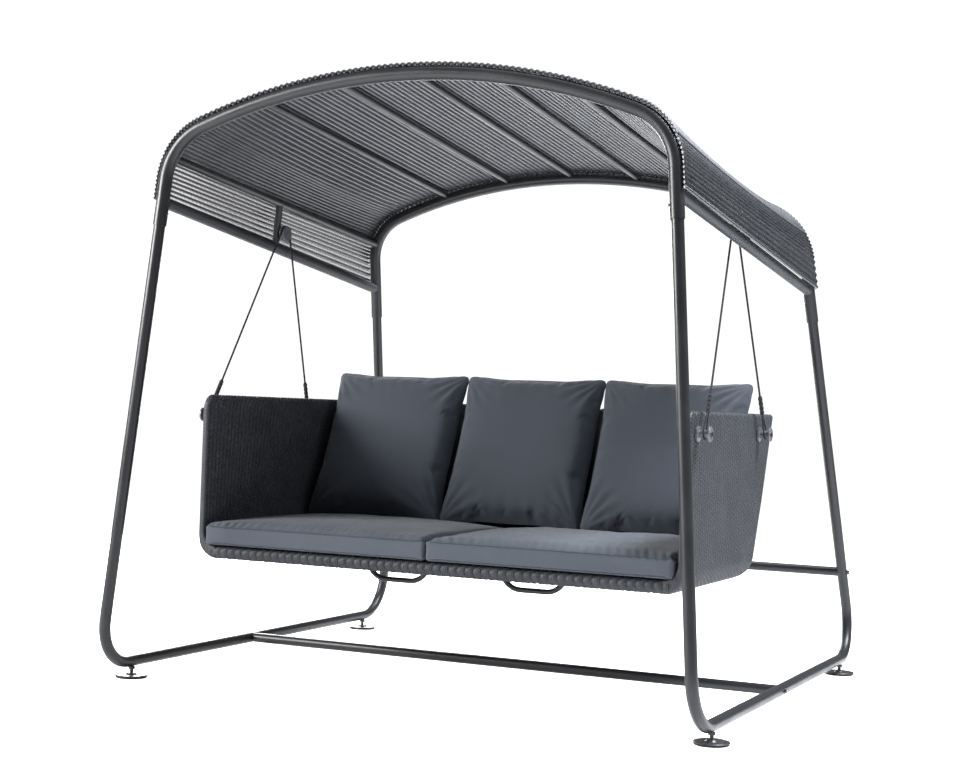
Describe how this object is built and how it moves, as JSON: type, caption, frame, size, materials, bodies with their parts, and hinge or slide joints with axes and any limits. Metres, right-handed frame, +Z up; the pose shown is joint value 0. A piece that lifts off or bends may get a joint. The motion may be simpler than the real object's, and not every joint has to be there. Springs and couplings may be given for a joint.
{
  "type": "canopy swing bench",
  "caption": "Swing bench with woven tub seat and loose cushions, hung on ropes from a bent tube stand under a curved woven canopy.",
  "frame": {"origin": "on the floor, in the middle of the box that the whole bench fills", "axes": "+Z up, -Y to the front, +X to the right as the bench is looked at from the front"},
  "size_m": [2.123, 1.9848, 1.9947],
  "materials": {
    "frame_paint": "satin",
    "wrapped_rail": "matte",
    "canopy_weave": "matte",
    "seat_weave": "matte",
    "cushion_cloth": "matte",
    "rope": "matte",
    "foot_steel": "satin",
    "foot_rubber": "matte",
    "spool_steel": "satin",
    "cap_paint": "satin",
    "fasteners": "satin"
  },
  "bodies": {
    "stand": {"canopy_rib_1": "frame_paint", "canopy_rib_2": "frame_paint", "canopy_rib_3": "frame_paint", "canopy_rib_4": "frame_paint", "canopy_rib_5": "frame_paint", "canopy_weave": "canopy_weave", "end_post_left": "frame_paint", "end_post_right": "frame_paint", "end_rail_left": "wrapped_rail", "end_rail_right": "wrapped_rail", "floor_stretcher": "frame_paint", "foot_bosses": "frame_paint", "front_arch": "frame_paint", "hub_cap_left": "cap_paint", "hub_cap_right": "cap_paint", "leg_frame_left": "frame_paint", "leg_frame_right": "frame_paint", "rear_arch": "frame_paint", "rear_stretcher": "frame_paint", "shoulder_rail_left": "frame_paint", "shoulder_rail_right": "frame_paint", "sleeve_screws": "fasteners", "stretcher_bolts": "fasteners", "top_hub_left": "spool_steel", "top_hub_right": "spool_steel"},
    "swing": {"seat_front_hoop": "frame_paint", "seat_top_rail": "frame_paint", "seat_rib_left": "frame_paint", "seat_rib_middle": "frame_paint", "seat_rib_right": "frame_paint", "seat_cross_bar": "frame_paint", "arm_spool_front_left": "spool_steel", "arm_spool_front_right": "spool_steel", "arm_spool_rear_left": "spool_steel", "arm_spool_rear_right": "spool_steel", "spool_screws": "fasteners", "weave_arm_left": "seat_weave", "weave_arm_right": "seat_weave", "weave_back": "seat_weave", "weave_seat": "seat_weave", "front_braid": "seat_weave", "under_seat_loop_left": "frame_paint", "under_seat_loop_right": "frame_paint", "rope_left": "rope", "rope_right": "rope", "rope_splices_left": "rope", "rope_splices_right": "rope", "seat_cushion_left": "cushion_cloth", "seat_cushion_right": "cushion_cloth", "back_cushion_left": "cushion_cloth", "back_cushion_middle": "cushion_cloth", "back_cushion_right": "cushion_cloth"},
    "foot_front_left": {"foot_plate_front_left": "foot_steel", "foot_pad_front_left": "foot_rubber"},
    "foot_front_right": {"foot_plate_front_right": "foot_steel", "foot_pad_front_right": "foot_rubber"},
    "foot_rear_left": {"foot_plate_rear_left": "foot_steel", "foot_pad_rear_left": "foot_rubber"},
    "foot_rear_right": {"foot_plate_rear_right": "foot_steel", "foot_pad_rear_right": "foot_rubber"}
  },
  "joints": [
    {"name": "swing_hinge", "type": "hinge", "parent": "stand", "child": "swing", "pos_m": [0, -0.184, 1.552], "axis": [1, 0, 0], "range_deg": [-15, 15]},
    {"name": "foot_front_left_screw", "type": "slide", "parent": "stand", "child": "foot_front_left", "axis": [0, 0, 1], "range_m": [0, 0.012]},
    {"name": "foot_front_right_screw", "type": "slide", "parent": "stand", "child": "foot_front_right", "axis": [0, 0, 1], "range_m": [0, 0.012]},
    {"name": "foot_rear_left_screw", "type": "slide", "parent": "stand", "child": "foot_rear_left", "axis": [0, 0, 1], "range_m": [0, 0.012]},
    {"name": "foot_rear_right_screw", "type": "slide", "parent": "stand", "child": "foot_rear_right", "axis": [0, 0, 1], "range_m": [0, 0.012]}
  ]
}
